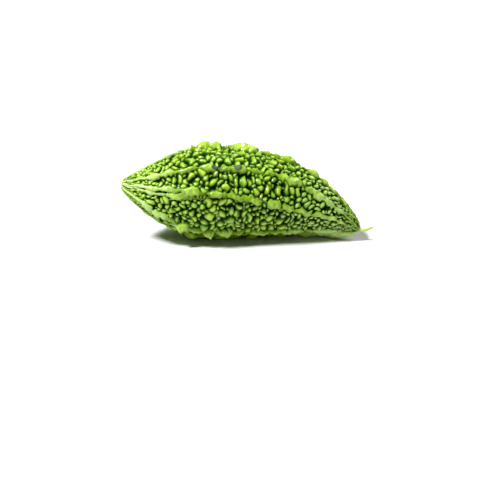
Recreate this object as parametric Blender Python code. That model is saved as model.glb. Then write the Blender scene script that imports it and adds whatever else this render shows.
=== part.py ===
# Baby bitter gourd, one fruit as picked, lying on a flat surface.
#
# The skin is one closed sheet on a grid of two coordinates: the way along the profile from the
# stem scar to the beak, and the turn around the spine. Eight ribs, their crests and the warts
# between them are raised from that sheet by a formula, then the sheet is thinned to few faces.
# Metres, +Z up. The origin is under the middle of the fruit, on the surface that it lies on.

import bpy
import numpy as np

MM = 0.001

# Spine: a cubic curve from the stem end to the blossom end. The stem end stands clear of the
# surface and turns a little to the front, and the blossom end droops to the surface.
SPINE = np.array([
    (-48.3, -8.1, 23.6),
    (-17.6, -2.3, 14.5),
    (12.9, 10.3, 21.7),
    (43.3, -4.6, 4.6),
]) * MM
CHORD = SPINE[3, 0] - SPINE[0, 0]

# Girth, under the ribs and warts
BELLY_RADIUS = 15.75 * MM
BELLY_AT = 0.34  # share of the spine from the stem end
STEM_RADIUS = 1.35 * MM
BLOSSOM_RADIUS = 1.3 * MM
STEM_FULLNESS = 1.6  # a higher power makes a blunter end
BLOSSOM_FULLNESS = 2.7
LEAST_GIRTH = 0.02  # share of the belly's, below which the relief shrinks no further
BODY_POINTS = 400

# Stem scar, a shallow dish
SCAR_DEPTH = 0.45 * MM
SCAR_POINTS = 11

# Beak: it leaves the blossom end along the spine and bends level, a slim taper with a round point
BEAK_BEND = 1.8 * MM
BEAK_REACH = np.array([4.2, 0.2, 2.2]) * MM
BEAK_LENGTH = 5.2 * MM
BEAK_ROOT_RADIUS = 0.72 * MM
BEAK_TIP_RADIUS = 0.45 * MM
BEAK_SHOULDER = 0.25  # share of the beak's length over which the blossom end narrows to its root
BEAK_ROUND_FROM = 0.88
BEAK_POINTS = 32

# Ribs, as the turn in degrees around the spine at five stations: 0 faces the front (-Y) and 90
# faces up. The strand lies beside the front rib at the stem end and runs into it on the belly.
RIB_STATIONS = (0.08, 0.27, 0.46, 0.66, 0.90)
RIBS = {
    "top": (103, 103, 101, 96, 86),
    "upper_front": (48, 51.5, 50, 47.5, 42),
    "front": (21, 18, 12.5, 5, 10),
    "lower_front": (-32, -44.5, -47, -46.5, -44),
    "floor_front": (-72, -72.5, -73, -73.5, -74),
    "floor_back": (-112, -112.5, -113, -112.5, -112),
    "lower_back": (-157, -159, -160, -160, -158),
    "upper_back": (152, 150, 148, 145, 142),
}
STRAND = (8, 10.5, 12, 5, 10)
RIB_RISE = 0.9 * MM
RIB_WIDTH = 2.0 * MM
BAND_RISE = 0.95 * MM  # the sharp ridge along the middle of a rib
BAND_WIDTH = 0.8 * MM
BAND_MIDDLE = 0.45  # share of that ridge that is left on the belly, between these two fades
BAND_FADES = ((0.18, 0.34), (0.74, 0.90))

# Crests that stand out on the ribs: rib, share of the spine, length, half width, height, in mm
CRESTS = (
    ("top", 0.116, 4.0, 1.3, 1.2),
    ("top", 0.180, 4.8, 1.5, 1.2),
    ("top", 0.232, 4.0, 1.5, 1.2),
    ("top", 0.288, 3.4, 1.5, 2.3),
    ("top", 0.340, 5.8, 2.1, 2.6),
    ("top", 0.383, 6.0, 2.2, 2.7),
    ("top", 0.495, 9.8, 2.5, 3.1),
    ("top", 0.590, 5.2, 1.6, 1.3),
    ("top", 0.668, 5.8, 1.8, 2.6),
    ("top", 0.767, 5.2, 1.6, 2.3),
    ("upper_front", 0.115, 3.8, 1.7, 2.1),
    ("upper_front", 0.165, 4.0, 1.4, 1.6),
    ("upper_front", 0.238, 8.6, 1.3, 1.5),
    ("upper_front", 0.325, 7.0, 1.5, 2.0),
    ("upper_front", 0.382, 4.2, 1.3, 1.3),
    ("upper_front", 0.447, 7.0, 1.6, 2.1),
    ("upper_front", 0.526, 5.2, 1.2, 1.2),
    ("upper_front", 0.592, 4.2, 1.2, 1.3),
    ("upper_front", 0.678, 10.0, 1.7, 2.0),
    ("upper_front", 0.822, 13.5, 1.7, 1.9),
    ("front", 0.114, 4.6, 1.4, 1.5),
    ("front", 0.168, 6.2, 1.4, 1.5),
    ("front", 0.250, 6.6, 1.9, 1.8),
    ("front", 0.350, 7.0, 1.4, 1.7),
    ("front", 0.432, 7.4, 1.3, 1.5),
    ("front", 0.515, 7.0, 1.4, 1.6),
    ("front", 0.618, 7.4, 1.7, 1.7),
    ("front", 0.695, 6.4, 1.4, 1.5),
    ("front", 0.775, 6.8, 1.5, 1.5),
    ("front", 0.847, 6.0, 1.5, 1.4),
    ("lower_front", 0.103, 4.2, 1.5, 1.8),
    ("lower_front", 0.150, 5.6, 1.8, 1.9),
    ("lower_front", 0.243, 5.0, 2.5, 3.0),
    ("lower_front", 0.345, 4.6, 2.0, 2.7),
    ("lower_front", 0.420, 6.6, 1.8, 2.1),
    ("lower_front", 0.585, 8.4, 1.6, 1.8),
    ("lower_front", 0.745, 11.0, 1.7, 1.8),
    ("lower_front", 0.880, 11.0, 1.6, 1.7),
    ("floor_front", 0.300, 5.4, 1.8, 2.0),
    ("floor_front", 0.420, 6.0, 1.9, 2.1),
    ("floor_front", 0.560, 6.4, 1.9, 2.1),
    ("floor_front", 0.700, 6.4, 1.8, 2.0),
    ("floor_front", 0.815, 11.0, 2.4, 3.1),
    ("floor_front", 0.925, 13.0, 3.4, 4.2),
    ("floor_back", 0.340, 5.6, 1.9, 2.2),
    ("floor_back", 0.480, 6.4, 1.9, 2.3),
    ("floor_back", 0.620, 6.0, 1.9, 2.2),
    ("strand", 0.100, 5.0, 1.3, 1.1),
    ("strand", 0.192, 6.2, 1.6, 1.7),
)

# Other crests, drawn between these limits in mm, along this span of the spine
CREST_LENGTHS = (3.6, 8.0)
CREST_HALF_WIDTHS = (1.05, 1.5)
CREST_HEIGHTS = (1.2, 2.1)
CREST_SPAN = (0.10, 0.92)
CREST_OVERLAP = 1.2  # how far two crests of a rib may run together
CREST_STEP = 0.8
SLOPE_STEP = 0.01  # share of the spine on either side where a rib's slope is read
SHARP_FROM = 1.05  # a crest whose height is more than this many half widths starts to be pointed
SHARP_AT = 1.7

# Warts, from the largest to the smallest: radius on the belly in mm, and number of places tried
WARTS = ((1.45, 120), (1.25, 900), (1.08, 2800), (0.90, 4600), (0.70, 7000), (0.52, 9000))
WART_RISE = (0.95, 1.35)  # height as a share of the radius, least and most
WART_SHRINK = 1.2  # power of the girth's size share by which warts are smaller at slim places
WART_OVERLAP = 0.10  # share of their radii by which two warts may run together
WART_SPAN = (0.035, 0.985)
WART_STRETCH = 0.5  # on the belly, and longer towards the ends, where warts also lie lengthwise
END_STRETCH = 1.3
ROUND_MIDDLE = 0.45
ROUND_FROM = 0.18  # share of the spine from that middle over which warts stay round
WART_HEADINGS = (0.5, 0.4)  # in half turns: middle and spread on the belly, where most lie crosswise
SEED = 7  # each wart also draws a mark from 0 to 1, which picks those that run together

# Long upright warts above the front rib: share, turn in degrees, heading in half turns, and half
# length past the radius, radius and height in mm
LONG_WARTS = (
    (0.440, 33, 0.50, 1.3, 1.15, 1.5),
    (0.469, 33, 0.50, 1.4, 1.15, 1.5),
    (0.664, 36, 0.57, 2.7, 1.0, 1.4),
)
LONG_MARK = 0.5

# Section of a bump and of the crease between two bumps
BUMP_CORNER = 2.2  # 2 is an ellipse in plan, and higher is nearer to a rectangle
WART_SWELL = 1.12  # a bump's foot reaches past its radius, to the crease to the next one
CREST_SWELL = 1.22
BUMP_REACH = 1.6  # radii past which a bump has no effect
BUMP_DOME = 0.5  # power of a round dome
SHARP_DOME = 0.5  # added to it where a bump is pointed
CREASE_DEPTH = 0.9
CREASE_WIDTH = 0.6
FUSED = 0.25  # share of neighbouring warts that run together
FUSED_DEPTH = 0.3
END_FADE = 0.012  # share of the spine over which the relief fades out at each end

# Waves: a smooth random field that bends the bumps' outlines and makes the crests ragged
WAVES = 26
WANDER = 0.38 * MM
WANDER_MOST = 3  # times that, the most that counts
WANDER_WAVE = np.array([3.0, 8.0]) * MM
ROUGH = 0.1  # share of a crest's height
RAGGED = 0.17  # share of its radius
ROUGH_WAVE = np.array([1.3, 3.0]) * MM
WAVE_SEED = 21

# Flutes: fine lengthwise ridges at both ends
FLUTES = 23
FLUTE_RISE = 0.34 * MM
FLUTE_BEND = 0.6
FLUTE_BEADS = 1.5 * MM  # each one swells and narrows over this length
FLUTE_BEADING = 0.45
STEM_FLUTES = (0.02, 0.13)
BLOSSOM_FLUTES = (0.82, 0.94)

ROW_STEP = 0.42 * MM
COLUMNS = 260
TRIANGLES = 11600
SEAT_SNAP = 0.06 * MM

RIND_COLOUR = (0.185, 0.36, 0.03, 1)
RIND_ROUGHNESS = 0.38


def girth(t):
    """Radius under the ribs at a share t of the spine: full at the belly, less at the ends."""
    before = t < BELLY_AT
    away = np.where(before, (BELLY_AT - t) / BELLY_AT, (t - BELLY_AT) / (1 - BELLY_AT))
    power = np.where(before, STEM_FULLNESS, BLOSSOM_FULLNESS)
    end = np.where(before, STEM_RADIUS, BLOSSOM_RADIUS)
    return end + (BELLY_RADIUS - end) * (1 - np.clip(away, 0, 1) ** power)


def beak_radius(along):
    """A slim cone that the blossom end runs into over a hollow shoulder, with a round point."""
    cone = BEAK_ROOT_RADIUS + (BEAK_TIP_RADIUS - BEAK_ROOT_RADIUS) * along
    shoulder = np.clip(1 - along / BEAK_SHOULDER, 0, 1) ** 2
    past = np.clip((along - BEAK_ROUND_FROM) / (1 - BEAK_ROUND_FROM), 0, 1)
    return (cone + (BLOSSOM_RADIUS - BEAK_ROOT_RADIUS) * shoulder) * np.sqrt(1 - past**2)


def profile():
    """The turned outline as (share of the spine, radius), from the scar's middle to the beak's point."""
    across = np.linspace(0, 1, SCAR_POINTS, endpoint=False)
    dish = SCAR_DEPTH * (1 - across**3)
    body = np.linspace(0, 1, BODY_POINTS)
    along = np.linspace(0, 1, BEAK_POINTS)[1:]
    share = np.concatenate([dish / CHORD, body, 1 + along * BEAK_LENGTH / CHORD])
    radius = np.concatenate([STEM_RADIUS * across, girth(body), beak_radius(along)])
    return share, radius


def bezier(points, t):
    """Place and direction on a Bezier curve of any order, by taking points between its points."""
    points = np.broadcast_to(points[:, None], (len(points), len(t), 3))
    t = t[:, None]
    while len(points) > 2:
        points = points[:-1] * (1 - t) + points[1:] * t
    return points[0] * (1 - t) + points[1] * t, points[1] - points[0]


def spine_frame(t):
    """Centre, direction, front and up of the spine at shares t, and of the beak's curve past 1."""
    t = np.asarray(t, float)
    last = SPINE[3] - SPINE[2]
    elbow = SPINE[3] + BEAK_BEND * last / np.linalg.norm(last)
    beak = np.array([SPINE[3], elbow, elbow + BEAK_REACH])
    past = np.clip((t - 1) * CHORD / BEAK_LENGTH, 0, 1)
    on_beak = (t > 1)[:, None]
    body_centre, body_way = bezier(SPINE, np.minimum(t, 1))
    beak_centre, beak_way = bezier(beak, past)
    centre = np.where(on_beak, beak_centre, body_centre)
    way = np.where(on_beak, beak_way, body_way)
    way /= np.linalg.norm(way, axis=1, keepdims=True)
    up = np.array((0.0, 0.0, 1.0)) - way[:, 2:] * way
    up /= np.linalg.norm(up, axis=1, keepdims=True)
    return centre, way, np.cross(way, up), up


class Outline:
    """The profile with its own length, so that places on the skin are (length along it, turn)."""

    def __init__(self):
        self.share, self.radius = profile()
        step = np.hypot(np.diff(self.share) * CHORD, np.diff(self.radius))
        self.length = np.concatenate([[0], np.cumsum(step)])

    def at(self, length):
        share = np.interp(length, self.length, self.share)
        radius = np.interp(length, self.length, self.radius)
        return share, radius

    def length_of(self, share):
        return np.interp(share, self.share[SCAR_POINTS:], self.length[SCAR_POINTS:])


def size_share(radius):
    """How large ribs and warts are at this radius, against those on the belly."""
    return np.sqrt(np.clip(radius / BELLY_RADIUS, LEAST_GIRTH, 1))


def rib_turn(turns, share):
    """A rib's turn in radians: the polynomial through its stations, held level past the outer ones."""
    share = np.clip(share, RIB_STATIONS[0], RIB_STATIONS[-1])
    return np.radians(np.polyval(np.polyfit(RIB_STATIONS, turns, len(turns) - 1), share))


def wrapped(turn):
    return (turn + np.pi) % (2 * np.pi) - np.pi


def smooth_step(value, low, high):
    x = np.clip((value - low) / (high - low), 0, 1)
    return x * x * (3 - 2 * x)


def local(along, across, heading):
    """Distances from a bump's middle, lengthwise and crosswise to its heading."""
    lengthwise = along * np.cos(heading) + across * np.sin(heading)
    crosswise = across * np.cos(heading) - along * np.sin(heading)
    return lengthwise, crosswise


class Bumps:
    """Crests, then warts: length, turn, heading, half length past the radius, radius, height, mark."""

    def __init__(self):
        self.rows = np.empty((0, 7))
        self.crests = 0

    def add(self, *row):
        self.rows = np.vstack([self.rows, row])

    def clear_of(self, length, turn, around, radius):
        """Is a new wart clear of all others, apart from the overlap that is allowed?"""
        at, way, heading, half, radii = self.rows[:, :5].T
        lengthwise, crosswise = local(length - at, around * wrapped(turn - way), heading)
        gap = np.hypot(np.maximum(np.abs(lengthwise) - half, 0), crosswise)
        return bool((gap > (radii + radius) * (1 - WART_OVERLAP)).all())


def rib_crests(name, rng):
    """Crests as (share, length, half width, height) in mm: the named ones, then a rib has others between."""
    crests = [crest[1:] for crest in CRESTS if crest[0] == name]
    if name not in RIBS:
        return crests
    share = CREST_SPAN[0]
    chord = CHORD / MM
    while share < CREST_SPAN[1]:
        length = rng.uniform(*CREST_LENGTHS)
        half_width = rng.uniform(*CREST_HALF_WIDTHS)
        height = rng.uniform(*CREST_HEIGHTS)
        middle = share + length / chord / 2
        gaps = [abs(middle - other[0]) * chord - (other[1] + length) / 2 for other in crests]
        if min(gaps, default=0) > -CREST_OVERLAP:
            crests.append((middle, length, half_width, height))
        share += CREST_STEP / chord
    return crests


def place_crests(bumps, outline, rng):
    """Crests on each rib and the strand, lying along it, smaller where the fruit is slimmer."""
    for name, turns in [*RIBS.items(), ("strand", STRAND)]:
        for middle, length, half_width, height in rib_crests(name, rng):
            at = outline.length_of(middle)
            radius = outline.at(at)[1]
            scale = size_share(radius)
            ahead, behind = rib_turn(turns, middle + SLOPE_STEP), rib_turn(turns, middle - SLOPE_STEP)
            heading = np.arctan(radius * (ahead - behind) / (2 * SLOPE_STEP * CHORD))
            size = half_width * MM * scale
            half = max(length * MM / 2 - size, 0)
            bumps.add(at, rib_turn(turns, middle), heading, half, size, height * MM * scale, rng.random())
    bumps.crests = len(bumps.rows)


def band_share(share):
    """How much of a rib's sharp ridge stands at a share of the spine: all at the ends, less on the belly."""
    stem_fade, blossom_fade = BAND_FADES
    return 1 - (1 - BAND_MIDDLE) * smooth_step(share, *stem_fade) * (1 - smooth_step(share, *blossom_fade))


def clear_of_ribs(share, turn, around, radius):
    """Does a new wart leave the sharp ridge of every rib free?"""
    room = (radius + BAND_WIDTH * size_share(around)) * band_share(share) * (1 - WART_OVERLAP)
    ribs = [*RIBS.values(), STRAND]
    return all(abs(around * wrapped(turn - rib_turn(turns, share))) > room for turns in ribs)


def place_long_warts(bumps, outline):
    for share, turn, heading, half, radius, height in LONG_WARTS:
        at = outline.length_of(share)
        size = MM * size_share(outline.at(at)[1])
        bumps.add(at, np.radians(turn), heading * np.pi, half * size, radius * size, height * size, LONG_MARK)


def place_warts(bumps, outline, rng):
    """Warts thrown between the crests, large ones first, each kept where it is clear of all before it."""
    first, last = outline.length_of(WART_SPAN[0]), outline.length_of(WART_SPAN[1])
    for belly_size, tries in WARTS:
        for _ in range(tries):
            length = rng.uniform(first, last)
            turn = rng.uniform(-np.pi, np.pi)
            keep, stretch, heading, rise, mark = rng.random(5)
            share, around = outline.at(length)
            if keep > around / BELLY_RADIUS:
                continue
            radius = belly_size * MM * size_share(around) ** WART_SHRINK
            if not bumps.clear_of(length, turn, around + radius, radius):
                continue
            if not clear_of_ribs(share, turn, around + radius, radius):
                continue
            end = np.clip(2 * (abs(share - ROUND_MIDDLE) - ROUND_FROM), 0, 1)
            half = radius * stretch * (WART_STRETCH + END_STRETCH * end)
            middle, spread = WART_HEADINGS
            heading = (middle + (2 * heading - 1) * spread) * np.pi * (1 - end)
            height = radius * (WART_RISE[0] + (WART_RISE[1] - WART_RISE[0]) * rise)
            bumps.add(length, turn, heading, half, radius, height, mark)


def waves_at(points, wave, rng):
    """A smooth random field: plane waves of random direction, length and phase, added up."""
    field = np.zeros(points.shape[:-1])
    for _ in range(WAVES):
        direction = rng.normal(size=3)
        direction *= 2 * np.pi / (np.linalg.norm(direction) * rng.uniform(*wave))
        field += np.sin(points @ direction + rng.uniform(0, 2 * np.pi))
    return field / np.sqrt(WAVES / 2)


class Ground:
    """The skin's grid before its relief: lengths by turns, and the waves over them."""

    def __init__(self, outline, length, turn):
        self.length = length
        self.turn = turn
        self.share, self.radius = outline.at(length)
        self.scale = size_share(self.radius)[:, None]
        self.around = self.radius[:, None] + RIB_RISE * self.scale
        along = np.broadcast_to(length[:, None], (len(length), len(turn)))
        places = np.stack([along, self.around * np.cos(turn), self.around * np.sin(turn)], axis=-1)
        rng = np.random.default_rng(WAVE_SEED)
        self.wander_long = WANDER * self.scale * waves_at(places, WANDER_WAVE, rng)
        self.wander_cross = WANDER * self.scale * waves_at(places, WANDER_WAVE, rng)
        self.rough = waves_at(places, ROUGH_WAVE, rng)
        self.shape = along.shape

    def away_from(self, bump):
        """Rows of the grid near a bump, and how many of its own radii each place there is away."""
        at, way, heading, half, size = bump[:5]
        reach = BUMP_REACH * (half + size) + WANDER_MOST * WANDER
        rows = slice(*self.length.searchsorted([at - reach, at + reach]))
        along = self.length[rows, None] - at + self.wander_long[rows]
        across = self.around[rows] * wrapped(self.turn - way) + self.wander_cross[rows]
        lengthwise, crosswise = local(along, across, heading)
        away = np.abs(lengthwise / (half + size)) ** BUMP_CORNER + np.abs(crosswise / size) ** BUMP_CORNER
        return rows, away ** (1 / BUMP_CORNER)

    def off_rib(self, turns):
        """Distance from a rib's middle line, all over the grid."""
        off = self.around * wrapped(self.turn - rib_turn(turns, self.share)[:, None])
        return np.abs(off + self.wander_cross)


def dome(away, swell, sharp=0.0):
    """1 over the middle of a bump and 0 at its foot: a round dome, or a pointed hill where it is sharp."""
    return np.clip(1 - (away / swell) ** (2 - sharp), 0, 1) ** (BUMP_DOME + SHARP_DOME * sharp)


def crest_layer(ground, crests):
    """Height of the ribs' sharp ridges and crests, the highest one at each place, and how near they are."""
    near = np.full(ground.shape, np.inf)
    rise = np.zeros(ground.shape)
    band = band_share(ground.share)[:, None] * ground.scale
    ragged = 1 + RAGGED * ground.rough
    for turns in [*RIBS.values(), STRAND]:
        off = ground.off_rib(turns) / (BAND_WIDTH * band) * ragged
        rise = np.maximum(rise, BAND_RISE * band * dome(off, CREST_SWELL))
        near = np.minimum(near, off)
    for crest in crests:
        size, height = crest[4:6]
        sharp = np.clip((height / size - SHARP_FROM) / (SHARP_AT - SHARP_FROM), 0, 1)
        rows, away = ground.away_from(crest)
        away = away * ragged[rows]
        rise[rows] = np.maximum(rise[rows], height * dome(away, CREST_SWELL, sharp))
        near[rows] = np.minimum(near[rows], away)
    return rise * (1 + ROUGH * ground.rough), near


def wart_layer(ground, warts):
    """Height of the nearest wart at each place, how near it and the next one are, and both marks."""
    near, second = np.full((2, *ground.shape), np.inf)
    tall, mark, next_mark = np.zeros((3, *ground.shape))
    for wart in warts:
        rows, away = ground.away_from(wart)
        closer = away < near[rows]
        closest = away < second[rows]
        next_mark[rows] = np.where(closer, mark[rows], np.where(closest, wart[6], next_mark[rows]))
        second[rows] = np.where(closer, near[rows], np.minimum(second[rows], away))
        tall[rows] = np.where(closer, wart[5], tall[rows])
        mark[rows] = np.where(closer, wart[6], mark[rows])
        near[rows] = np.where(closer, away, near[rows])
    return tall * dome(near, WART_SWELL), near, second, mark, next_mark


def relief(ground, bumps):
    """Height of the skin above the girth.

    Each place takes the height of its nearest bump, as measured in that bump's own radii, and falls
    to a crease where two are equally near. Some neighbouring warts share one rise. Ribs lie under
    the bumps, and flutes under both ends.
    """
    crest, crest_near = crest_layer(ground, bumps.rows[:bumps.crests])
    wart, wart_near, second, mark, next_mark = wart_layer(ground, bumps.rows[bumps.crests:])
    on_crest = crest_near < wart_near
    gap = np.where(on_crest, wart_near - crest_near, np.minimum(second, crest_near) - wart_near)
    fused = ~on_crest & (second < crest_near) & ((mark + next_mark) % 1 < FUSED)
    depth = np.where(fused, FUSED_DEPTH, CREASE_DEPTH)
    crease = 1 - depth * (1 - np.sqrt(1 - (1 - np.clip(gap / CREASE_WIDTH, 0, 1)) ** 2))
    ridge = np.zeros(ground.shape)
    for turns in RIBS.values():
        ridge = np.maximum(ridge, np.exp(-(ground.off_rib(turns) / (RIB_WIDTH * ground.scale)) ** 2))
    tips = 1 - smooth_step(ground.share, *STEM_FLUTES) + smooth_step(ground.share, *BLOSSOM_FLUTES)
    across = np.cos(FLUTES * ground.turn + FLUTE_BEND * ground.rough)
    beads = np.cos(2 * np.pi * (ground.length[:, None] + ground.wander_long) / FLUTE_BEADS)
    flutes = tips[:, None] * across * (1 + FLUTE_BEADING * beads)
    rise = (RIB_RISE * ridge + FLUTE_RISE * flutes) * ground.scale + np.where(on_crest, crest, wart) * crease
    ends = np.clip(ground.share / END_FADE, 0, 1) * np.clip((1 - ground.share) / END_FADE, 0, 1)
    return rise * ends[:, None]


def skin_points(ground, bumps):
    """The skin as a grid of points: the profile turned around the spine, raised along its normal."""
    centre, way, front, up = spine_frame(ground.share)
    turn = ground.turn[None, :, None]
    lean = np.gradient(ground.radius, ground.length)[:, None]
    around = front[:, None] * np.cos(turn) + up[:, None] * np.sin(turn)
    outward = around * np.sqrt(np.clip(1 - lean**2, 0, 1))[..., None] - (way * lean)[:, None]
    turned = centre[:, None] + around * ground.radius[:, None, None]
    return turned + outward * relief(ground, bumps)[..., None]


def closed_skin():
    """Vertices and faces of the closed skin, pressed flat where it meets the surface under it."""
    outline = Outline()
    rng = np.random.default_rng(SEED)
    bumps = Bumps()
    place_crests(bumps, outline, rng)
    place_long_warts(bumps, outline)
    place_warts(bumps, outline, rng)
    total = outline.length[-1]
    length = np.linspace(0, total, int(total / ROW_STEP) + 1)[1:-1]
    turn = np.linspace(-np.pi, np.pi, COLUMNS, endpoint=False)
    points = skin_points(Ground(outline, length, turn), bumps)
    tips = spine_frame(outline.share[[0, -1]])[0]
    points = np.concatenate([points.reshape(-1, 3), tips])
    points[:, 2] = np.maximum(points[:, 2], 0)
    rows = len(length)
    here = np.arange(rows * COLUMNS).reshape(rows, COLUMNS)
    there = np.roll(here, -1, axis=1)
    quads = np.stack([here[:-1], here[1:], there[1:], there[:-1]], axis=-1).reshape(-1, 4)
    stem, beak = rows * COLUMNS, rows * COLUMNS + 1
    caps = [(stem, here[0, i], there[0, i]) for i in range(COLUMNS)]
    caps += [(beak, there[-1, i], here[-1, i]) for i in range(COLUMNS)]
    return points, quads.tolist() + caps


def thin(gourd):
    """Collapse the fine skin to the wanted number of faces, and seat it on the surface."""
    gourd.data.calc_loop_triangles()
    decimate = gourd.modifiers.new("Fewer faces", "DECIMATE")
    decimate.ratio = TRIANGLES / len(gourd.data.loop_triangles)
    decimate.use_collapse_triangulate = True
    graph = bpy.context.evaluated_depsgraph_get()
    mesh = bpy.data.meshes.new_from_object(gourd.evaluated_get(graph))
    gourd.modifiers.clear()
    gourd.data = mesh
    for vertex in mesh.vertices:
        if vertex.co.z < SEAT_SNAP:
            vertex.co.z = 0


def rind_material():
    rind = bpy.data.materials.new("Rind")
    rind.use_nodes = True
    shader = rind.node_tree.nodes["Principled BSDF"]
    shader.inputs["Base Color"].default_value = RIND_COLOUR
    shader.inputs["Roughness"].default_value = RIND_ROUGHNESS
    shader.inputs["Metallic"].default_value = 0
    return rind


def main():
    for obj in list(bpy.data.objects):
        bpy.data.objects.remove(obj)
    points, faces = closed_skin()
    mesh = bpy.data.meshes.new("gourd")
    mesh.from_pydata(points.tolist(), [], faces)
    gourd = bpy.data.objects.new("gourd", mesh)
    bpy.context.scene.collection.objects.link(gourd)
    thin(gourd)
    gourd.data.materials.append(rind_material())
    gourd.data.shade_smooth()


main()
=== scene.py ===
import math

import bpy
import numpy as np
from mathutils import Matrix, Vector


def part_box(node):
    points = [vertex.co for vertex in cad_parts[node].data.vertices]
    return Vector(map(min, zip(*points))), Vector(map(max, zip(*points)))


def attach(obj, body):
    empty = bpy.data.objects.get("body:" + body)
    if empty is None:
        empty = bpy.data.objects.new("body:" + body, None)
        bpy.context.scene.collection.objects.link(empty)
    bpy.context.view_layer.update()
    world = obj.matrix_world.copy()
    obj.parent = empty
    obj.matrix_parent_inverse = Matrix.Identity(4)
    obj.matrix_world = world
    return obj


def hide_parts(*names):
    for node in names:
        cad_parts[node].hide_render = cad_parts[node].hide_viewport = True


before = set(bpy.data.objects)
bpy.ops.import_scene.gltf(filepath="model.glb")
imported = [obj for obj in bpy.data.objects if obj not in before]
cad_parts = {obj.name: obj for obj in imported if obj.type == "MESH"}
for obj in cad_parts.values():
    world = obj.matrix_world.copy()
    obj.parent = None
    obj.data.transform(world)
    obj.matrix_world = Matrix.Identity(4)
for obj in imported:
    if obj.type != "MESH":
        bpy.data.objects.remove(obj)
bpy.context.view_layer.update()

# A baby bitter gourd lying on a pale table: one closed skin with ribs, crests and warts, and a
# waxy rind that is dark in its creases. Metres, +Z up, stem scar at -X, front at -Y.

mm = 0.001
print("frame loaded")

# The fruit's own form, as the frame has it
gourd = {
    # corners of its cubic curve, from the stem scar to the blossom end
    "spine": np.array([(-48.3, -8.1, 23.6), (-17.6, -2.3, 14.5),
                       (12.9, 10.3, 21.7), (43.3, -4.6, 4.6)]) * mm,
    "bellyRadius": 15.75 * mm,
    "bellyAt": 0.34,  # share of the spine from the stem end
    "stemRadius": 1.35 * mm,
    "blossomRadius": 1.3 * mm,
    "stemFullness": 1.6,  # a higher power makes a blunter end
    "blossomFullness": 2.7,
    "leastGirth": 0.02,  # share of the belly's, below which the relief shrinks no further
    "bodyPoints": 400,
    "scarDepth": 0.45 * mm,
    "scarPoints": 11,
    "rows": 310,
    "columns": 318,
}
chord = gourd["spine"][3, 0] - gourd["spine"][0, 0]

# Beak: leaves the blossom end along the spine and bends level
beak = {
    "bend": 1.8 * mm,
    "reach": np.array([4.2, 0.2, 2.2]) * mm,
    "length": 5.2 * mm,
    "rootRadius": 0.72 * mm,
    "tipRadius": 0.45 * mm,
    "shoulder": 0.25,  # share of its length over which the blossom end narrows to its root
    "roundFrom": 0.88,
    "points": 32,
}

# Ribs: turn in degrees at the five stations, 0 to the front and 90 up. The strand lies beside
# the front rib at the stem end and runs into it on the belly.
ribs = {
    "stations": (0.08, 0.27, 0.46, 0.66, 0.90),
    "turns": {
        "top": (103, 103, 101, 96, 86),
        "upperFront": (48, 51.5, 50, 47.5, 42),
        "front": (21, 18, 12.5, 5, 10),
        "lowerFront": (-32, -44.5, -47, -46.5, -44),
        "floorFront": (-72, -72.5, -73, -73.5, -74),
        "floorBack": (-112, -112.5, -113, -112.5, -112),
        "lowerBack": (-157, -159, -160, -160, -158),
        "upperBack": (152, 150, 148, 145, 142),
    },
    "strand": (8, 10.5, 12, 5, 10),
    "rise": 0.9 * mm,
    "width": 2.0 * mm,
    "bandRise": 0.95 * mm,  # the sharp ridge along a rib's middle
    "bandWidth": 0.8 * mm,
    "bandMiddle": 0.45,  # share of that ridge that is left on the belly, between these two fades
    "bandFades": ((0.18, 0.34), (0.74, 0.90)),
}

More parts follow.
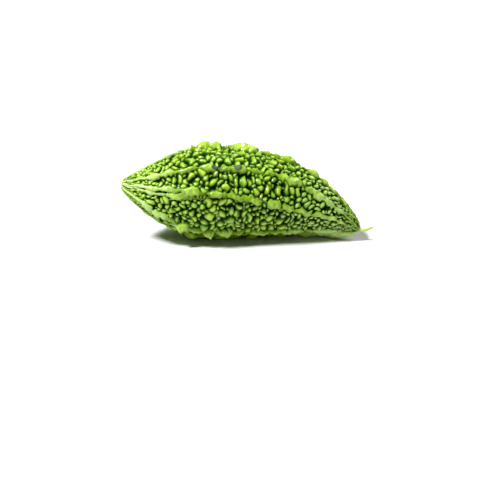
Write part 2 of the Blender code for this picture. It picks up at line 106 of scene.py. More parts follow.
# Crests: share of the spine, length, half width and height in mm, and the limits of those drawn
crests = {
    "named": {
        "top": ((0.116, 4.0, 1.3, 1.2), (0.180, 4.8, 1.5, 1.2), (0.232, 4.0, 1.5, 1.2),
                (0.288, 3.4, 1.5, 2.3), (0.340, 5.8, 2.1, 2.6), (0.383, 6.0, 2.2, 2.7),
                (0.495, 9.8, 2.5, 3.1), (0.590, 5.2, 1.6, 1.3), (0.668, 5.8, 1.8, 2.6),
                (0.767, 5.2, 1.6, 2.3)),
        "upperFront": ((0.115, 3.8, 1.7, 2.1), (0.165, 4.0, 1.4, 1.6), (0.238, 8.6, 1.3, 1.5),
                       (0.325, 7.0, 1.5, 2.0), (0.382, 4.2, 1.3, 1.3), (0.447, 7.0, 1.6, 2.1),
                       (0.526, 5.2, 1.2, 1.2), (0.592, 4.2, 1.2, 1.3), (0.678, 10.0, 1.7, 2.0),
                       (0.822, 13.5, 1.7, 1.9)),
        "front": ((0.114, 4.6, 1.4, 1.5), (0.168, 6.2, 1.4, 1.5), (0.250, 6.6, 1.9, 1.8),
                  (0.350, 7.0, 1.4, 1.7), (0.432, 7.4, 1.3, 1.5), (0.515, 7.0, 1.4, 1.6),
                  (0.618, 7.4, 1.7, 1.7), (0.695, 6.4, 1.4, 1.5), (0.775, 6.8, 1.5, 1.5),
                  (0.847, 6.0, 1.5, 1.4)),
        "lowerFront": ((0.103, 4.2, 1.5, 1.8), (0.150, 5.6, 1.8, 1.9), (0.243, 5.0, 2.5, 3.0),
                       (0.345, 4.6, 2.0, 2.7), (0.420, 6.6, 1.8, 2.1), (0.585, 8.4, 1.6, 1.8),
                       (0.745, 11.0, 1.7, 1.8), (0.880, 11.0, 1.6, 1.7)),
        "floorFront": ((0.300, 5.4, 1.8, 2.0), (0.420, 6.0, 1.9, 2.1), (0.560, 6.4, 1.9, 2.1),
                       (0.700, 6.4, 1.8, 2.0), (0.815, 11.0, 2.4, 3.1), (0.925, 13.0, 3.4, 4.2)),
        "floorBack": ((0.340, 5.6, 1.9, 2.2), (0.480, 6.4, 1.9, 2.3), (0.620, 6.0, 1.9, 2.2)),
        "strand": ((0.100, 5.0, 1.3, 1.1), (0.192, 6.2, 1.6, 1.7)),
    },
    "lengths": (3.6, 8.0),
    "halfWidths": (1.05, 1.5),
    "heights": (1.2, 2.1),
    "span": (0.10, 0.92),
    "overlap": 1.2,  # how far two crests of a rib may run together
    "step": 0.8,
    "slopeStep": 0.01,
    "sharpFrom": 1.05,  # height over half width from which a crest is pointed
    "sharpAt": 1.7,
}

# Warts, large ones first: radius on the belly in mm and places tried
warts = {
    "sizes": ((1.45, 120), (1.25, 900), (1.08, 2800), (0.90, 4600), (0.70, 7000), (0.52, 9000)),
    "rise": (0.95, 1.35),  # height as a share of the radius
    # long upright ones: share, turn in degrees, heading in half turns, half length, radius, height
    "long": ((0.440, 33, 0.50, 1.3, 1.15, 1.5), (0.469, 33, 0.50, 1.4, 1.15, 1.5),
             (0.664, 36, 0.57, 2.7, 1.0, 1.4)),
    "longMark": 0.5,
    "shrink": 1.2,  # power of the girth share by which they get smaller towards the ends
    "overlap": 0.10,
    "span": (0.035, 0.985),
    "stretch": 0.5,
    "endStretch": 1.3,  # added at the ends, where warts are longest
    "roundMiddle": 0.45,  # share of the spine where they are roundest
    "roundFrom": 0.18,  # how far from there they start to get longer, and how fast
    "roundFall": 2,
    "headings": (0.5, 0.4),  # in half turns: middle and spread on the belly, most crosswise
    "seed": 7,
}

# Section of a bump, and of the crease to the next one
bump = {
    "corner": 2.2,  # 2 is an ellipse in plan
    "swell": 1.12,  # a wart's foot reaches past its radius, up to the crease
    "crestSwell": 1.22,
    "reach": 1.6,
    "dome": 0.5,
    "sharpDome": 0.5,
    "creaseDepth": 0.9,
    "creaseWidth": 0.6,
    "fused": 0.25,  # share of neighbouring warts that run together
    "fusedDepth": 0.3,
    "endFade": 0.012,
}

# Random waves that bend the bumps' outlines and make the crests ragged
waves = {
    "count": 26,
    "wander": 0.38 * mm,
    "wanderMost": 3,  # times that, the most that counts
    "wanderWave": (3.0 * mm, 8.0 * mm),
    "rough": 0.1,  # share of a crest's height
    "ragged": 0.17,  # share of its radius
    "roughWave": (1.3 * mm, 3.0 * mm),
    "seed": 21,
}

# Flutes: fine lengthwise ridges at both ends
flutes = {
    "count": 23,
    "rise": 0.34 * mm,
    "bend": 0.6,
    "beads": 1.5 * mm,  # each one swells and narrows over this length
    "beading": 0.45,
    "stem": (0.02, 0.13),
    "blossom": (0.82, 0.94),
}


def girth(t):
    # radius under the ribs: full at the belly, falling to each end by a power of the way there
    at = gourd["bellyAt"]
    before = t < at
    away = np.where(before, (at - t) / at, (t - at) / (1 - at))
    power = np.where(before, gourd["stemFullness"], gourd["blossomFullness"])
    end = np.where(before, gourd["stemRadius"], gourd["blossomRadius"])
    return end + (gourd["bellyRadius"] - end) * (1 - np.clip(away, 0, 1) ** power)


def beakRadius(along):
    # a slim cone that the blossom end runs into over a hollow shoulder, with a round point
    cone = beak["rootRadius"] + (beak["tipRadius"] - beak["rootRadius"]) * along
    shoulder = np.clip(1 - along / beak["shoulder"], 0, 1) ** 2
    past = np.clip((along - beak["roundFrom"]) / (1 - beak["roundFrom"]), 0, 1)
    return (cone + (gourd["blossomRadius"] - beak["rootRadius"]) * shoulder) * np.sqrt(1 - past**2)


def outlineOf():
    # turned profile from the middle of the scar to the beak's point, and the length along it
    across = np.linspace(0, 1, gourd["scarPoints"], endpoint=False)
    dish = gourd["scarDepth"] * (1 - across**3)
    body = np.linspace(0, 1, gourd["bodyPoints"])
    along = np.linspace(0, 1, beak["points"])[1:]
    share = np.concatenate([dish / chord, body, 1 + along * beak["length"] / chord])
    radius = np.concatenate([gourd["stemRadius"] * across, girth(body), beakRadius(along)])
    step = np.hypot(np.diff(share) * chord, np.diff(radius))
    return {"share": share, "radius": radius, "length": np.concatenate([[0], np.cumsum(step)])}


def atLength(outline, length):
    # share of the spine and radius at a length along the profile, straight between its points
    share = np.interp(length, outline["length"], outline["share"])
    return share, np.interp(length, outline["length"], outline["radius"])


def lengthOf(outline, share):
    # the other way round, past the scar: length along the profile at a share of the spine
    start = gourd["scarPoints"]
    return np.interp(share, outline["share"][start:], outline["length"][start:])


def bezier(points, t):
    # place and direction on a Bezier curve of any order, by taking points between its points
    points = np.broadcast_to(points[:, None], (len(points), len(t), 3))
    t = t[:, None]
    while len(points) > 2:
        points = points[:-1] * (1 - t) + points[1:] * t
    return points[0] * (1 - t) + points[1] * t, points[1] - points[0]


def spineFrame(t):
    # the spine's cubic curve, and the beak's curve past its end: place, direction, front and up
    t = np.asarray(t, float)
    spine = gourd["spine"]
    last = spine[3] - spine[2]
    elbow = spine[3] + beak["bend"] * last / np.linalg.norm(last)
    past = np.clip((t - 1) * chord / beak["length"], 0, 1)
    onBeak = (t > 1)[:, None]
    bodyCentre, bodyWay = bezier(spine, np.minimum(t, 1))
    beakCentre, beakWay = bezier(np.array([spine[3], elbow, elbow + beak["reach"]]), past)
    centre = np.where(onBeak, beakCentre, bodyCentre)
    way = np.where(onBeak, beakWay, bodyWay)
    way /= np.linalg.norm(way, axis=1, keepdims=True)
    up = np.array((0.0, 0.0, 1.0)) - way[:, 2:] * way
    up /= np.linalg.norm(up, axis=1, keepdims=True)
    return centre, way, np.cross(way, up), up


def sizeShare(radius):
    # ribs and warts shrink with the square root of the girth
    return np.sqrt(np.clip(radius / gourd["bellyRadius"], gourd["leastGirth"], 1))


def ribTurn(turns, share):
    # polynomial through the rib's stations, held level past the outer ones
    stations = ribs["stations"]
    share = np.clip(share, stations[0], stations[-1])
    return np.radians(np.polyval(np.polyfit(stations, turns, len(turns) - 1), share))


def wrapped(turn):
    # the same angle, between minus and plus half a turn
    return (turn + np.pi) % (2 * np.pi) - np.pi


def smoothStep(value, low, high):
    # 0 below low, 1 above high, and 3x squared - 2x cubed between them
    x = np.clip((value - low) / (high - low), 0, 1)
    return x * x * (3 - 2 * x)


def local(along, across, heading):
    # the same two distances, lengthwise and crosswise to a heading
    return (along * np.cos(heading) + across * np.sin(heading),
            across * np.cos(heading) - along * np.sin(heading))


def ribCrests(name, rng):
    # the named crests of one rib, then others drawn between them from the stem end on, and none
    # of those on the strand
    placed = list(crests["named"].get(name, ()))
    if name not in ribs["turns"]:
        return placed
    share = crests["span"][0]
    span = chord / mm
    while share < crests["span"][1]:
        length = rng.uniform(*crests["lengths"])
        halfWidth = rng.uniform(*crests["halfWidths"])
        height = rng.uniform(*crests["heights"])
        middle = share + length / span / 2
        gaps = [abs(middle - other[0]) * span - (other[1] + length) / 2 for other in placed]
        if min(gaps, default=0) > -crests["overlap"]:
            placed.append((middle, length, halfWidth, height))
        share += crests["step"] / span
    return placed


def placeCrests(outline, rng):
    # rows of length, turn, heading, half length past the radius, radius, height and mark
    rows = []
    step = crests["slopeStep"]
    for name, turns in [*ribs["turns"].items(), ("strand", ribs["strand"])]:
        for middle, length, halfWidth, height in ribCrests(name, rng):
            at = lengthOf(outline, middle)
            radius = atLength(outline, at)[1]
            scale = sizeShare(radius)
            ahead, behind = ribTurn(turns, middle + step), ribTurn(turns, middle - step)
            heading = np.arctan(radius * (ahead - behind) / (2 * step * chord))
            size = halfWidth * mm * scale
            half = max(length * mm / 2 - size, 0)
            rise = height * mm * scale
            rows.append((at, ribTurn(turns, middle), heading, half, size, rise, rng.random()))
    return np.array(rows)


def clearOf(bumps, length, turn, around, radius):
    # is a new wart clear of all others, apart from the overlap that is allowed?
    at, way, heading, half, radii = bumps[:, :5].T
    lengthwise, crosswise = local(length - at, around * wrapped(turn - way), heading)
    gap = np.hypot(np.maximum(np.abs(lengthwise) - half, 0), crosswise)
    return bool((gap > (radii + radius) * (1 - warts["overlap"])).all())


def bandShare(share):
    # how much of a rib's sharp ridge stands at a share of the spine: all of it at the ends, and
    # less between two smooth steps
    stemFade, blossomFade = ribs["bandFades"]
    belly = smoothStep(share, *stemFade) * (1 - smoothStep(share, *blossomFade))
    return 1 - (1 - ribs["bandMiddle"]) * belly


def clearOfRibs(share, turn, around, radius):
    # does a new wart leave the sharp ridge of every rib free?
    room = (radius + ribs["bandWidth"] * sizeShare(around)) * bandShare(share) * (1 - warts["overlap"])
    lines = [*ribs["turns"].values(), ribs["strand"]]
    return all(abs(around * wrapped(turn - ribTurn(turns, share))) > room for turns in lines)


def placeLongWarts(bumps, outline):
    # the long upright warts above the front rib, in the same rows
    rows = []
    for share, turn, heading, half, radius, height in warts["long"]:
        at = lengthOf(outline, share)
        size = mm * sizeShare(atLength(outline, at)[1])
        place = (at, math.radians(turn), heading * np.pi)
        rows.append((*place, half * size, radius * size, height * size, warts["longMark"]))
    return np.vstack([bumps, rows])


def placeWarts(bumps, sizes, outline, rng):
    # warts thrown between the crests, each kept where it is clear of all before it
    first, last = (lengthOf(outline, share) for share in warts["span"])
    low, high = warts["rise"]
    for bellySize, tries in sizes:
        for _ in range(tries):
            length = rng.uniform(first, last)
            turn = rng.uniform(-np.pi, np.pi)
            keep, stretch, heading, rise, mark = rng.random(5)
            share, around = atLength(outline, length)
            if keep > around / gourd["bellyRadius"]:
                continue
            radius = bellySize * mm * sizeShare(around) ** warts["shrink"]
            if not clearOf(bumps, length, turn, around + radius, radius):
                continue
            if not clearOfRibs(share, turn, around + radius, radius):
                continue
            away = abs(share - warts["roundMiddle"]) - warts["roundFrom"]
            end = np.clip(warts["roundFall"] * away, 0, 1)
            half = radius * stretch * (warts["stretch"] + warts["endStretch"] * end)
            middle, spread = warts["headings"]
            heading = (middle + (2 * heading - 1) * spread) * np.pi * (1 - end)
            height = radius * (low + (high - low) * rise)
            bumps = np.vstack([bumps, (length, turn, heading, half, radius, height, mark)])
    return bumps


def wavesAt(points, wave, rng):
    # a smooth random field: plane waves of random direction, length and phase, added up
    field = np.zeros(points.shape[:-1])
    for _ in range(waves["count"]):
        direction = rng.normal(size=3)
        direction *= 2 * np.pi / (np.linalg.norm(direction) * rng.uniform(*wave))
        field += np.sin(points @ direction + rng.uniform(0, 2 * np.pi))
    return field / math.sqrt(waves["count"] / 2)


def groundOf(outline, length, turn):
    # the skin's grid before its relief, lengths by turns, with the waves over it
    share, radius = atLength(outline, length)
    scale = sizeShare(radius)[:, None]
    around = radius[:, None] + ribs["rise"] * scale
    along = np.broadcast_to(length[:, None], (len(length), len(turn)))
    places = np.stack([along, around * np.cos(turn), around * np.sin(turn)], axis=-1)
    rng = np.random.default_rng(waves["seed"])
    return {
        "length": length, "turn": turn, "share": share, "radius": radius, "scale": scale,
        "around": around, "shape": along.shape,
        "wanderLong": waves["wander"] * scale * wavesAt(places, waves["wanderWave"], rng),
        "wanderCross": waves["wander"] * scale * wavesAt(places, waves["wanderWave"], rng),
        "rough": wavesAt(places, waves["roughWave"], rng),
    }


def awayFrom(ground, one):
    # rows of the grid near one bump, and how many of its own radii each place there is away
    at, way, heading, half, size = one[:5]
    reach = bump["reach"] * (half + size) + waves["wanderMost"] * waves["wander"]
    rows = slice(*ground["length"].searchsorted([at - reach, at + reach]))
    along = ground["length"][rows, None] - at + ground["wanderLong"][rows]
    across = ground["around"][rows] * wrapped(ground["turn"] - way) + ground["wanderCross"][rows]
    lengthwise, crosswise = local(along, across, heading)
    corner = bump["corner"]
    away = np.abs(lengthwise / (half + size)) ** corner + np.abs(crosswise / size) ** corner
    return rows, away ** (1 / corner)


def offRib(ground, turns):
    # distance from a rib's middle line, all over the grid
    off = ground["around"] * wrapped(ground["turn"] - ribTurn(turns, ground["share"])[:, None])
    return np.abs(off + ground["wanderCross"])


def dome(away, swell, sharp=0.0):
    # 1 over the middle of a bump and 0 at its foot: round, or a pointed hill where it is sharp
    return np.clip(1 - (away / swell) ** (2 - sharp), 0, 1) ** (bump["dome"] + bump["sharpDome"] * sharp)


def crestLayer(ground, rows):
    # the highest crest or sharp ridge at each place, made ragged by the waves, and how near it is
    near = np.full(ground["shape"], np.inf)
    rise = np.zeros(ground["shape"])
    band = bandShare(ground["share"])[:, None] * ground["scale"]
    ragged = 1 + waves["ragged"] * ground["rough"]
    for turns in [*ribs["turns"].values(), ribs["strand"]]:
        off = offRib(ground, turns) / (ribs["bandWidth"] * band) * ragged
        rise = np.maximum(rise, ribs["bandRise"] * band * dome(off, bump["crestSwell"]))
        near = np.minimum(near, off)
    sharpFrom, sharpAt = crests["sharpFrom"], crests["sharpAt"]
    for one in rows:
        size, height = one[4:6]
        sharp = np.clip((height / size - sharpFrom) / (sharpAt - sharpFrom), 0, 1)
        span, away = awayFrom(ground, one)
        away = away * ragged[span]
        rise[span] = np.maximum(rise[span], height * dome(away, bump["crestSwell"], sharp))
        near[span] = np.minimum(near[span], away)
    return rise * (1 + waves["rough"] * ground["rough"]), near


def wartLayer(ground, rows):
    # the nearest wart's height at each place, how near it and the next one are, and both marks
    near, second = np.full((2, *ground["shape"]), np.inf)
    tall, mark, nextMark = np.zeros((3, *ground["shape"]))
    for one in rows:
        span, away = awayFrom(ground, one)
        closer = away < near[span]
        closest = away < second[span]
        nextMark[span] = np.where(closer, mark[span], np.where(closest, one[6], nextMark[span]))
        second[span] = np.where(closer, near[span], np.minimum(second[span], away))
        tall[span] = np.where(closer, one[5], tall[span])
        mark[span] = np.where(closer, one[6], mark[span])
        near[span] = np.where(closer, away, near[span])
    return tall, dome(near, bump["swell"]), near, second, mark, nextMark


def reliefOf(ground, bumps, crestCount):
    # each place takes the height of its nearest bump, measured in that bump's own radii, and
    # falls to a crease where two are equally near; ribs lie under the bumps, flutes at the ends
    scale = ground["scale"]
    crest, crestNear = crestLayer(ground, bumps[:crestCount])
    tall, wart, wartNear, second, mark, nextMark = wartLayer(ground, bumps[crestCount:])
    onCrest = crestNear < wartNear
    gap = np.where(onCrest, wartNear - crestNear, np.minimum(second, crestNear) - wartNear)
    fused = ~onCrest & (second < crestNear) & ((mark + nextMark) % 1 < bump["fused"])
    depth = np.where(fused, bump["fusedDepth"], bump["creaseDepth"])
    crease = 1 - depth * (1 - np.sqrt(1 - (1 - np.clip(gap / bump["creaseWidth"], 0, 1)) ** 2))
    ridge = np.zeros(ground["shape"])
    for turns in ribs["turns"].values():
        ridge = np.maximum(ridge, np.exp(-(offRib(ground, turns) / (ribs["width"] * scale)) ** 2))
    stemTip = 1 - smoothStep(ground["share"], *flutes["stem"])
    tips = stemTip + smoothStep(ground["share"], *flutes["blossom"])
    across = np.cos(flutes["count"] * ground["turn"] + flutes["bend"] * ground["rough"])
    beads = np.cos(2 * np.pi * (ground["length"][:, None] + ground["wanderLong"]) / flutes["beads"])
    fluting = tips[:, None] * across * (1 + flutes["beading"] * beads)
    raised = np.where(onCrest, crest, tall * wart) * crease
    rise = (ribs["rise"] * ridge + flutes["rise"] * fluting) * scale + raised
    fromStem = np.clip(ground["share"] / bump["endFade"], 0, 1)
    ends = fromStem * np.clip((1 - ground["share"]) / bump["endFade"], 0, 1)
    # lift runs from 0 in the creases to 1 on the tops; the rind's tones turn it into painted shade and a
    # painted highlight
    crestLift = crest / (skinTones["fullLift"] * scale)
    lift = np.where(onCrest, crestLift, wart ** skinTones["wartSideShade"]) * crease
    endLift = stemTip * skinTones["stemLift"] + (tips - stemTip) * skinTones["blossomLift"]
    endLift = endLift[:, None] + skinTones["fluteLift"] * fluting
    return {
        "rise": rise * ends[:, None],
        "lift": np.clip(np.maximum(lift, endLift), 0, 1),
        "ridge": onCrest * crease * dome(crestNear, bump["crestSwell"]),
        "tint": np.where(onCrest, skinTones["crestTint"], mark),
    }


def skinOf(ground, relief):
    # the profile turned around the spine, then raised along the profile's own normal
    centre, way, front, up = spineFrame(ground["share"])
    turn = ground["turn"][None, :, None]
    lean = np.gradient(ground["radius"], ground["length"])[:, None]
    around = front[:, None] * np.cos(turn) + up[:, None] * np.sin(turn)
    outward = around * np.sqrt(np.clip(1 - lean**2, 0, 1))[..., None] - (way * lean)[:, None]
    smooth = centre[:, None] + around * ground["radius"][:, None, None]
    return smooth + outward * relief["rise"][..., None]


def closedGrid(name, points, tips):
    # a grid that wraps round in its second direction, closed by a fan of triangles at each tip
    rows, columns = points.shape[:2]
    here = np.arange(rows * columns).reshape(rows, columns)
    there = np.roll(here, -1, axis=1)
    quads = np.stack([here[:-1], here[1:], there[1:], there[:-1]], axis=-1).reshape(-1, 4)
    first, last = rows * columns, rows * columns + 1
    nearFan = np.stack([np.full(columns, first), here[0], there[0]], axis=-1)
    farFan = np.stack([np.full(columns, last), there[-1], here[-1]], axis=-1)
    mesh = bpy.data.meshes.new(name)
    mesh.from_pydata(np.concatenate([points.reshape(-1, 3), tips]).tolist(), [],
                     quads.tolist() + nearFan.tolist() + farFan.tolist())
    mesh.shade_smooth()
    piece = bpy.data.objects.new(name, mesh)
    bpy.context.scene.collection.objects.link(piece)
    return piece


def paint(piece, name, grid, tipValues=(0, 0)):
    # one number for each point of the skin, which the rind's material reads by this name
    layer = piece.data.attributes.new(name, "FLOAT", "POINT")
    layer.data.foreach_set("value", np.append(grid.ravel(), tipValues).astype(np.float32))


# Numbers painted on the skin: lift is 0 in the creases and 1 on the tops, and the rind's tones
# turn it into painted shade in the creases and a painted highlight on the tops; tint differs from
# wart to wart. Bruises and specks: share of the spine, turn in degrees, and radii in mm along and
# across.
skinTones = {
    "fullLift": 1.7 * mm,  # a crest this high counts as a full top, with the full painted highlight
    "wartSideShade": 1.5,  # a higher power paints more shade down the warts' sides
    "stemLift": 0.34,  # the fluted ends are pale all over, most on the flutes
    "blossomLift": 0.22,
    "fluteLift": 0.26,
    "crestTint": 0.5,
    "bruises": ((0.349, 50.5, 2.1, 1.1), (0.441, 51, 1.6, 1.3),
                (0.370, 75, 0.8, 0.8), (0.386, 67.5, 0.7, 0.7)),
    "specks": ((0.533, 11.5, 0.5, 0.45), (0.935, 43, 0.35, 0.3)),
    "scarEdge": 1.25 * mm,
    "scarFade": 0.5 * mm,
}


def spotsOf(ground, outline, spots):
    # a soft oval spot, exp(-distance squared), round each place
    field = np.zeros(ground["shape"])
    for share, turn, along, across in spots:
        lengthwise = (ground["length"] - lengthOf(outline, share))[:, None] / (along * mm)
        crosswise = ground["around"] * wrapped(ground["turn"] - math.radians(turn)) / (across * mm)
        field = np.maximum(field, np.exp(-(lengthwise**2) - crosswise**2))
    return field


def makeSkin():
    # even rows along the profile by even columns round it, raised, closed and painted
    outline = outlineOf()
    rng = np.random.default_rng(warts["seed"])
    bumps = placeCrests(outline, rng)
    crestCount = len(bumps)
    bumps = placeLongWarts(bumps, outline)
    bumps = placeWarts(bumps, warts["sizes"], outline, rng)
    print(f"{crestCount} crests and {len(bumps) - crestCount} warts placed")
    length = np.linspace(0, outline["length"][-1], gourd["rows"] + 2)[1:-1]
    turn = np.linspace(-np.pi, np.pi, gourd["columns"], endpoint=False)
    ground = groundOf(outline, length, turn)
    relief = reliefOf(ground, bumps, crestCount)
    low, high = (np.array(corner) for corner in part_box("gourd"))
    # pressed flat on the table, and kept inside the frame's box
    points = np.clip(skinOf(ground, relief), low, high)
    tips = spineFrame(outline["share"][[0, -1]])[0]
    skin = closedGrid("GourdSkin", points, np.clip(tips, low, high))
    wide = np.ones(len(turn))
    scar = 1 - smoothStep(length, skinTones["scarEdge"] - skinTones["scarFade"], skinTones["scarEdge"])
    paint(skin, "lift", relief["lift"])
    paint(skin, "ridge", relief["ridge"])
    paint(skin, "tint", relief["tint"])
    paint(skin, "bruise", spotsOf(ground, outline, skinTones["bruises"]))
    paint(skin, "speck", spotsOf(ground, outline, skinTones["specks"]))
    paint(skin, "share", ground["share"][:, None] * wide, (0, outline["share"][-1]))
    paint(skin, "scar", scar[:, None] * wide, (1, 0))
    print(f"skin made, {2 * len(length) * len(turn)} triangles")
    return skin


# Shader maths: an Expr wraps a socket, + - * add Math nodes, and node makes any other one
class Expr:
    def __init__(self, tree, socket):
        self.tree = tree
        self.socket = socket

    def node(self, kind, settings=None, inputs=None, output=0):
        made = self.tree.nodes.new(kind)
        for key, value in (settings or {}).items():
            if key == "stops":
                fillRamp(made.color_ramp, value)
            else:
                setattr(made, key, value)
        for key, value in (inputs or {}).items():
            if isinstance(value, Expr):
                self.tree.links.new(value.socket, made.inputs[key])
            else:
                made.inputs[key].default_value = value
        return Expr(self.tree, made.outputs[output])

    def math(self, operation, first, second):
        return self.node("ShaderNodeMath", {"operation": operation}, {0: first, 1: second})

    def __add__(self, other):
        return self.math("ADD", self, other)

    def __radd__(self, other):
        return self.math("ADD", other, self)

    def __sub__(self, other):
        return self.math("SUBTRACT", self, other)

    def __rsub__(self, other):
        return self.math("SUBTRACT", other, self)

    def __mul__(self, other):
        return self.math("MULTIPLY", self, other)

    def __rmul__(self, other):
        return self.math("MULTIPLY", other, self)

    def clamped(self, low=0.0, high=1.0):
        return self.node("ShaderNodeClamp", None, {0: self, 1: low, 2: high})

    def smooth(self, low, high):
        settings = {"interpolation_type": "SMOOTHSTEP"}
        return self.node("ShaderNodeMapRange", settings, {0: self, 1: low, 2: high})

    def mixColour(self, below, above):
        # a Mix node has its two colours at sockets 6 and 7, and the mixed one at output 2
        settings = {"data_type": "RGBA"}
        return self.node("ShaderNodeMix", settings, {0: self, 6: below, 7: above}, output=2)


def fillRamp(ramp, stops):
    # places and colours of a ramp, one for each stop
    while len(ramp.elements) < len(stops):
        ramp.elements.new(1)
    for element, (place, value) in zip(ramp.elements, stops):
        element.position = place
        element.color = (*value, 1)


def material(name):
    # a new material, its shader, and an Expr that makes nodes in its tree
    made = bpy.data.materials.new(name)
    made.use_nodes = True
    return made, made.node_tree.nodes["Principled BSDF"], Expr(made.node_tree, None)


# Rind: colours in linear light. The tones by lift run from painted shade in the creases,
# through the rind's green on the warts' sides, up to a painted highlight on the tops of warts and
# ribs. A fade is the two values between which something comes in, and a share is how strong it is then.
rind = {
    # painted shade and highlight: near-black green in the creases, the rind's green on the sides, paler
    # on the tops
    "shadedTones": ((0.0, (0.002, 0.009, 0.0003)), (0.32, (0.016, 0.054, 0.0008)),
              (0.70, (0.108, 0.245, 0.002)), (1.0, (0.350, 0.530, 0.060))),
    "blotches": {"Scale": 110.0, "Detail": 3.0},
    "blotchTone": 0.35,
    "grain": {"Scale": 1500.0, "Detail": 4.0},
    "grainTone": 0.12,
    "stemFade": (0.0, 0.26),  # shares of the spine
    "blossomFade": (0.66, 0.93),
    "yellowWarts": {"colour": (0.34, 0.48, 0.025, 1), "fade": (0.5, 1.0), "share": 0.45},
    "deepWarts": {"colour": (0.075, 0.205, 0.005, 1), "fade": (0.0, 0.4), "share": 0.45},
    "stemEnd": {"colour": (0.27, 0.46, 0.04, 1), "fade": (0.15, 0.7), "share": 0.85},
    "crests": {"colour": (0.20, 0.34, 0.012, 1), "fade": (0.1, 0.8), "share": 0.5},
    "stemRidges": {"colour": (0.45, 0.62, 0.22, 1), "fade": (0.15, 0.9), "share": 0.8},
    "blossomEnd": {"colour": (0.33, 0.50, 0.12, 1), "fade": (0.25, 0.9), "share": 0.8},
    "beak": {"colour": (0.34, 0.46, 0.12, 1), "fade": (0.995, 1.01), "share": 1},
    "bruises": {"colour": (0.055, 0.075, 0.045, 1), "fade": (0.22, 0.5), "share": 0.92},
    "bruiseEdge": 0.5,  # how ragged the grain makes a bruise's edge
    "specks": {"colour": (0.34, 0.17, 0.04, 1), "fade": (0.3, 0.8), "share": 0.8},
    "speckCells": 900.0,
    "speckSize": (0.25, 0.5),
    "speckFade": (0.90, 0.99),
    "speckRise": 0.25,
    "speckPick": (1.0, 1.02),
    "scar": (0.23, 0.13, 0.07, 1),
    "scarRim": (0.55, 0.62, 0.34, 1),
    "rimPeak": 4.0,  # makes the rim full where the scar's value is a half
    "roughness": 0.34,
    "creaseRoughness": 0.6,  # this and the next three are added to it
    "grainRoughness": 0.25,
    "bruiseRoughness": 0.3,
    "scarRoughness": 0.3,
    "roughnessLimits": (0.15, 0.9),
    "coat": 0.8,  # on the tops, and none in the creases
    "coatFade": (0.3, 0.95),
    "bump": {"Strength": 0.3, "Distance": 0.3 * mm},
    "constants": {
        "Specular IOR Level": 0.06,
        "Coat Roughness": 0.16,
        "Subsurface Weight": 0.04,
        "Subsurface Radius": (0.5, 1.0, 0.15),
        "Subsurface Scale": 1.0 * mm,
    },
}


def covered(colour, mask, layer):
    # one more colour over those before it, by its mask times its share
    return (mask * layer["share"]).mixColour(colour, layer["colour"])


def brownSpecks(tool, place, skin):
    # round spots in the cells whose random value, raised near the blossom end, passes 1, and the
    # specks painted on the skin
    cells = {"Vector": place, "Scale": rind["speckCells"]}
    away = tool.node("ShaderNodeTexVoronoi", None, cells)
    cellColour = tool.node("ShaderNodeTexVoronoi", None, cells, output="Color")
    pick = tool.node("ShaderNodeSeparateColor", None, {"Color": cellColour})
    raised = pick + skin["share"].smooth(*rind["speckFade"]) * rind["speckRise"]
    drawn = (1 - away.smooth(*rind["speckSize"])) * raised.smooth(*rind["speckPick"])
    return drawn + skin["speck"].smooth(*rind["specks"]["fade"])


def rindColour(tool, place, grain, skin):
    # tones by lift, which paint shade into the creases and down the warts' sides and a highlight on
    # their tops; single warts yellower or deeper, then the colours of the ends and the crests, and over
    # them beak, bruises, specks, and the scar with a pale rim where its value is halfway
    lift, ridge, tint, share, scar = (skin[name] for name in ("lift", "ridge", "tint", "share", "scar"))
    blotches = tool.node("ShaderNodeTexNoise", None, {"Vector": place, **rind["blotches"]})
    tone = (lift + (blotches - 0.5) * rind["blotchTone"] + (grain - 0.5) * rind["grainTone"]).clamped()
    # painted shade where lift is low and a painted highlight where it is high, with blotches and grain
    # over them
    colour = tool.node("ShaderNodeValToRGB", {"stops": rind["shadedTones"]}, {0: tone})
    stemward = 1 - share.smooth(*rind["stemFade"])
    blossomward = share.smooth(*rind["blossomFade"])
    bruise = skin["bruise"] + (grain - 0.5) * rind["bruiseEdge"]
    masks = {
        "yellowWarts": tint.smooth(*rind["yellowWarts"]["fade"]) * lift,
        "deepWarts": (1 - tint.smooth(*rind["deepWarts"]["fade"])) * lift,
        "stemEnd": stemward * lift.smooth(*rind["stemEnd"]["fade"]),
        "crests": ridge.smooth(*rind["crests"]["fade"]) * (1 - stemward),
        "stemRidges": stemward * ridge.smooth(*rind["stemRidges"]["fade"]),
        "blossomEnd": blossomward * lift.smooth(*rind["blossomEnd"]["fade"]),
        "beak": share.smooth(*rind["beak"]["fade"]),
        "bruises": bruise.smooth(*rind["bruises"]["fade"]),
    }
    for name, mask in masks.items():
        colour = covered(colour, mask, rind[name])
    specks = (brownSpecks(tool, place, skin) * rind["specks"]["share"]).clamped()
    colour = specks.mixColour(colour, rind["specks"]["colour"])
    rim = (scar * (1 - scar) * rind["rimPeak"]).clamped()
    return rim.mixColour(scar.mixColour(colour, rind["scar"]), rind["scarRim"])


def rindRoughness(grain, skin):
    # least on the tops, more in the creases, on bruises and on the scar, and uneven by the grain
    rough = (rind["roughness"] + (1 - skin["lift"]) * rind["creaseRoughness"]
             + (grain - 0.5) * rind["grainRoughness"] + skin["bruise"] * rind["bruiseRoughness"]
             + skin["scar"] * rind["scarRoughness"])
    return rough.clamped(*rind["roughnessLimits"])


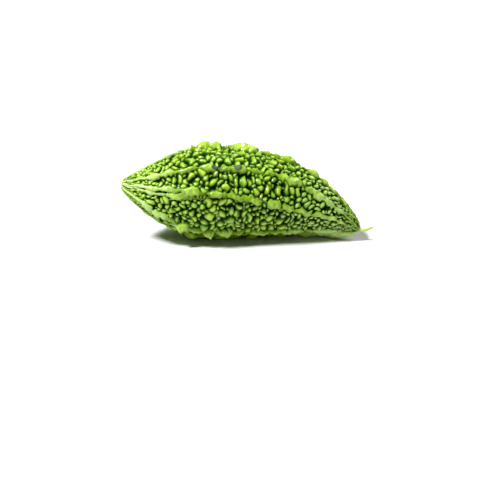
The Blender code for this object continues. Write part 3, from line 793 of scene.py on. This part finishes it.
def rindMaterial():
    # reads the numbers painted on the skin, with noise in Object coordinates over them
    made, shader, tool = material("WaxyRind")
    place = tool.node("ShaderNodeTexCoord", output="Object")
    skin = {name: tool.node("ShaderNodeAttribute", {"attribute_name": name}, output="Fac")
            for name in ("lift", "ridge", "tint", "bruise", "speck", "share", "scar")}
    grain = tool.node("ShaderNodeTexNoise", None, {"Vector": place, **rind["grain"]})
    looks = {
        "Base Color": rindColour(tool, place, grain, skin),
        "Roughness": rindRoughness(grain, skin),
        "Coat Weight": skin["lift"].smooth(*rind["coatFade"]) * (1 - skin["bruise"]) * rind["coat"],
        "Normal": tool.node("ShaderNodeBump", None, {**rind["bump"], "Height": grain}),
    }
    for socket, value in looks.items():
        made.node_tree.links.new(value.socket, shader.inputs[socket])
    for socket, value in rind["constants"].items():
        shader.inputs[socket].default_value = value
    return made


# Table: pale, with its sizes in metres
table = {
    "half": 6.0,
    "colour": (0.78, 0.78, 0.78, 1),
    "roughness": 0.6,
    "glow": 0.6,  # keeps the table white where the lamps don't reach
    "glowFade": (0.3, 0.9),  # distance from the fruit: none nearer, all of it farther out
}


def makeTable():
    # a flat square far wider than the view, with a glow by the distance from its middle
    half = table["half"]
    mesh = bpy.data.meshes.new("Table")
    corners = [(-half, -half, 0), (half, -half, 0), (half, half, 0), (-half, half, 0)]
    mesh.from_pydata(corners, [], [(0, 1, 2, 3)])
    top = bpy.data.objects.new("Table", mesh)
    bpy.context.scene.collection.objects.link(top)
    made, shader, tool = material("PaleTable")
    shader.inputs["Base Color"].default_value = table["colour"]
    shader.inputs["Roughness"].default_value = table["roughness"]
    place = tool.node("ShaderNodeTexCoord", output="Object")
    away = tool.node("ShaderNodeVectorMath", {"operation": "LENGTH"}, {0: place}, output="Value")
    glow = away.smooth(*table["glowFade"])
    made.node_tree.links.new(glow.socket, shader.inputs["Emission Color"])
    shader.inputs["Emission Strength"].default_value = table["glow"]
    mesh.materials.append(made)


# Camera: where it stands round the fruit, and the pixel of the 500 px picture that its aim falls on
cameraView = {
    "azimuth": -4.0,
    "elevation": 20.0,
    "roll": 2.0,
    "distance": 0.75,
    "aim": (0.0, 0.0, 0.018),
    "aimPixel": (247.2, 191.6),
    "metresPerPixel": 0.385 * mm,
    "pixels": 500,
    "clip": (0.01, 50.0),
}


def makeCamera():
    # stands on a sphere round the aim, then turns so that the aim falls on its pixel
    view = cameraView
    turn, rise, roll = (math.radians(view[key]) for key in ("azimuth", "elevation", "roll"))
    level = math.cos(rise)
    back = Vector((math.sin(turn) * level, -math.cos(turn) * level, math.sin(rise)))
    right = Vector((math.cos(turn), math.sin(turn), 0))
    up = back.cross(right)
    right, up = (right * math.cos(roll) + up * math.sin(roll),
                 up * math.cos(roll) - right * math.sin(roll))
    place = Vector(view["aim"]) + back * view["distance"]
    middle = view["pixels"] / 2
    stepX = (middle - view["aimPixel"][0]) * view["metresPerPixel"]
    stepY = (view["aimPixel"][1] - middle) * view["metresPerPixel"]
    target = Vector(view["aim"]) + right * stepX + up * stepY
    back = (place - target).normalized()
    right = up.cross(back).normalized()
    up = back.cross(right)
    data = bpy.data.cameras.new("Camera")
    data.lens = data.sensor_width * view["distance"] / (view["pixels"] * view["metresPerPixel"])
    data.clip_start, data.clip_end = view["clip"]
    camera = bpy.data.objects.new("Camera", data)
    camera.matrix_world = Matrix.Translation(place) @ Matrix((right, up, back)).transposed().to_4x4()
    bpy.context.scene.collection.objects.link(camera)
    bpy.context.scene.camera = camera


# Studio: place, size in metres and watts of each soft box, all aimed at the fruit
lights = {
    "boxes": {
        "key": {"place": (-0.38, -0.17, 0.64), "size": 0.18, "watts": 12.8},
        "fill": {"place": (0.60, -0.45, 0.35), "size": 0.60, "watts": 0.3},
        "back": {"place": (0.42, 0.38, 0.60), "size": 0.50, "watts": 3.8},
    },
    "sky": 0.06,
    "skyColour": (1, 1, 1, 1),
}


def makeLights():
    # soft boxes, each turned so that it shines on the camera's aim, and an even dim sky
    for name, box in lights["boxes"].items():
        data = bpy.data.lights.new(name, "AREA")
        data.size = box["size"]
        data.energy = box["watts"]
        lamp = bpy.data.objects.new(name, data)
        lamp.location = box["place"]
        aim = Vector(box["place"]) - Vector(cameraView["aim"])
        lamp.rotation_euler = aim.to_track_quat("Z", "Y").to_euler()
        bpy.context.scene.collection.objects.link(lamp)
    world = bpy.data.worlds.new("Studio")
    world.use_nodes = True
    sky = world.node_tree.nodes["Background"]
    sky.inputs["Color"].default_value = lights["skyColour"]
    sky.inputs["Strength"].default_value = lights["sky"]
    bpy.context.scene.world = world


makeCamera()
makeLights()
makeTable()
print("camera, lights and table ready")

skin = makeSkin()
skin.data.materials.append(rindMaterial())
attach(skin, "root")
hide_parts("gourd")
bpy.context.scene.view_settings.view_transform = "Standard"  # colours as they are
print("gourd dressed")
